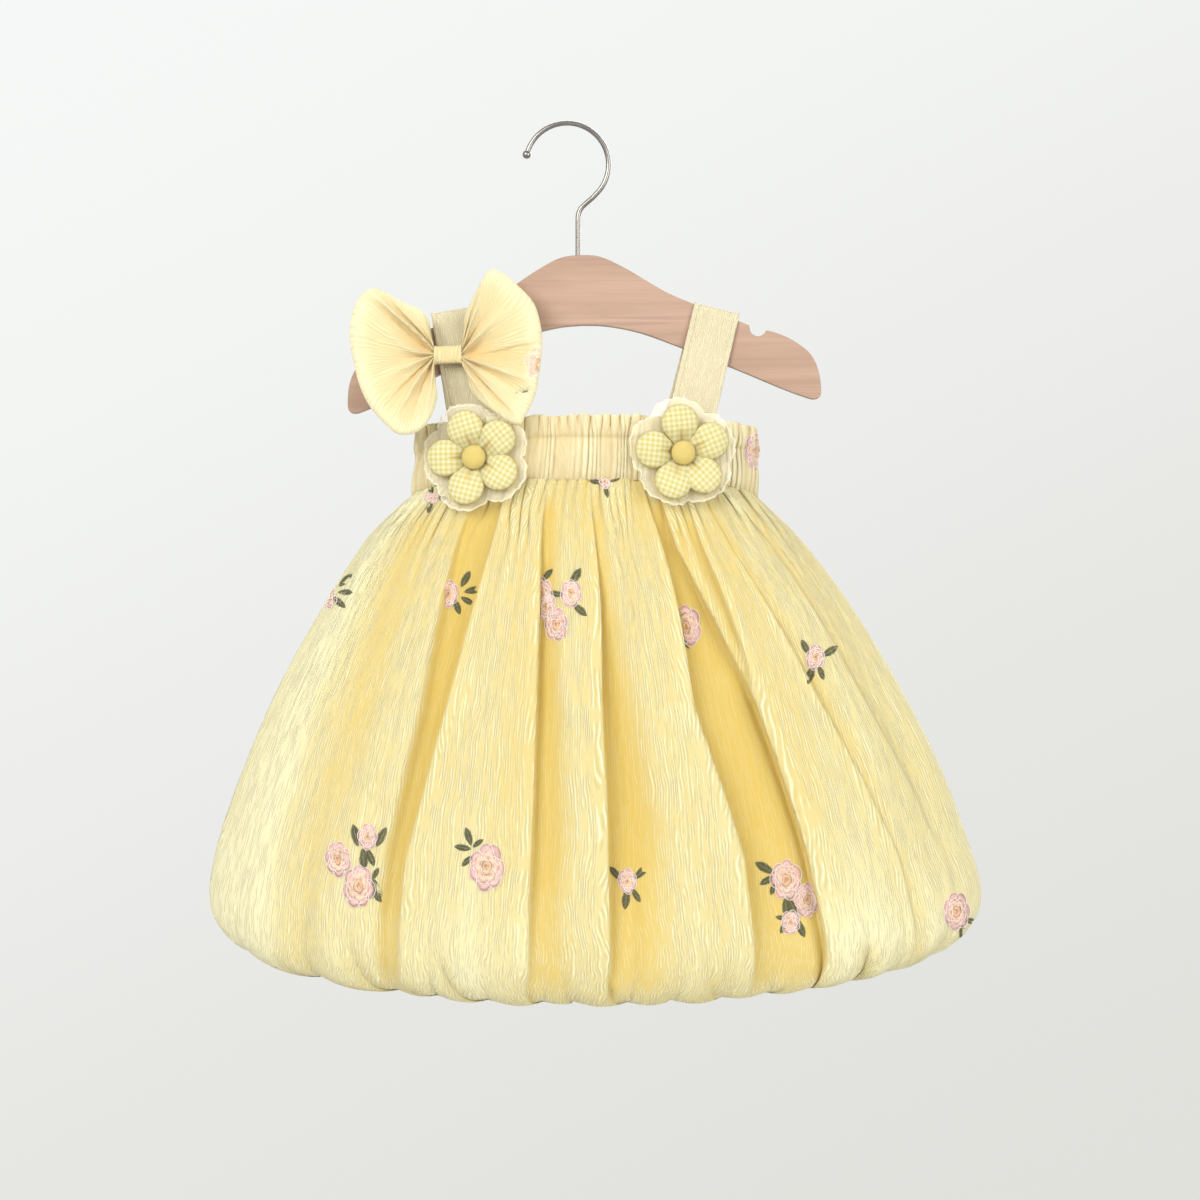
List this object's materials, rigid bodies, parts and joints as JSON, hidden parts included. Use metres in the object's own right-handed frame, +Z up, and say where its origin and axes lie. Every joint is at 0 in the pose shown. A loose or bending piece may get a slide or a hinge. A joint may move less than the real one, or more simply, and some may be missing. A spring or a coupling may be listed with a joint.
{
  "type": "toddler sundress on a wooden hanger",
  "caption": "Sleeveless toddler's sundress with a gathered waistband, a puffed bubble hem, wide shoulder straps, padded fabric flowers and a bow, hanging on a small wooden hanger.",
  "frame": {"origin": "inside top of the hanger's hook, where it rests on a rail", "axes": "+X to the viewer's right, -Y out of the front of the dress, +Z up"},
  "size_m": [0.491, 0.138, 0.5608],
  "materials": {
    "chiffon": "sheer crinkled yellow chiffon with small embroidered roses, soft and matt",
    "lining": "plain golden yellow cotton voile, matt",
    "strap_cotton": "creamy yellow crinkled cotton, matt",
    "gingham": "yellow and white gingham cotton, matt",
    "button_fabric": "deep yellow woven cotton over a dome, matt",
    "organza": "stiff sheer pale yellow organza with a faint sheen",
    "wood": "reddish light brown wood with fine lengthwise grain and a satin varnish",
    "steel": "nickel-plated wire, bright"
  },
  "bodies": {
    "root": {"skirt_front": "chiffon", "skirt_back": "chiffon", "band_front": "chiffon", "band_back": "chiffon", "lining_front": "lining", "lining_back": "lining", "strap_left": "strap_cotton", "strap_right": "strap_cotton", "flower_left_underlay": "organza", "flower_left_petal_1": "gingham", "flower_left_petal_2": "gingham", "flower_left_petal_3": "gingham", "flower_left_petal_4": "gingham", "flower_left_petal_5": "gingham", "flower_left_button": "button_fabric", "flower_right_underlay": "organza", "flower_right_petal_1": "gingham", "flower_right_petal_2": "gingham", "flower_right_petal_3": "gingham", "flower_right_petal_4": "gingham", "flower_right_petal_5": "gingham", "flower_right_button": "button_fabric", "bow_loop_left": "chiffon", "bow_loop_right": "chiffon", "bow_knot": "chiffon", "hanger_board": "wood", "hanger_hook": "steel"}
  },
  "joints": []
}
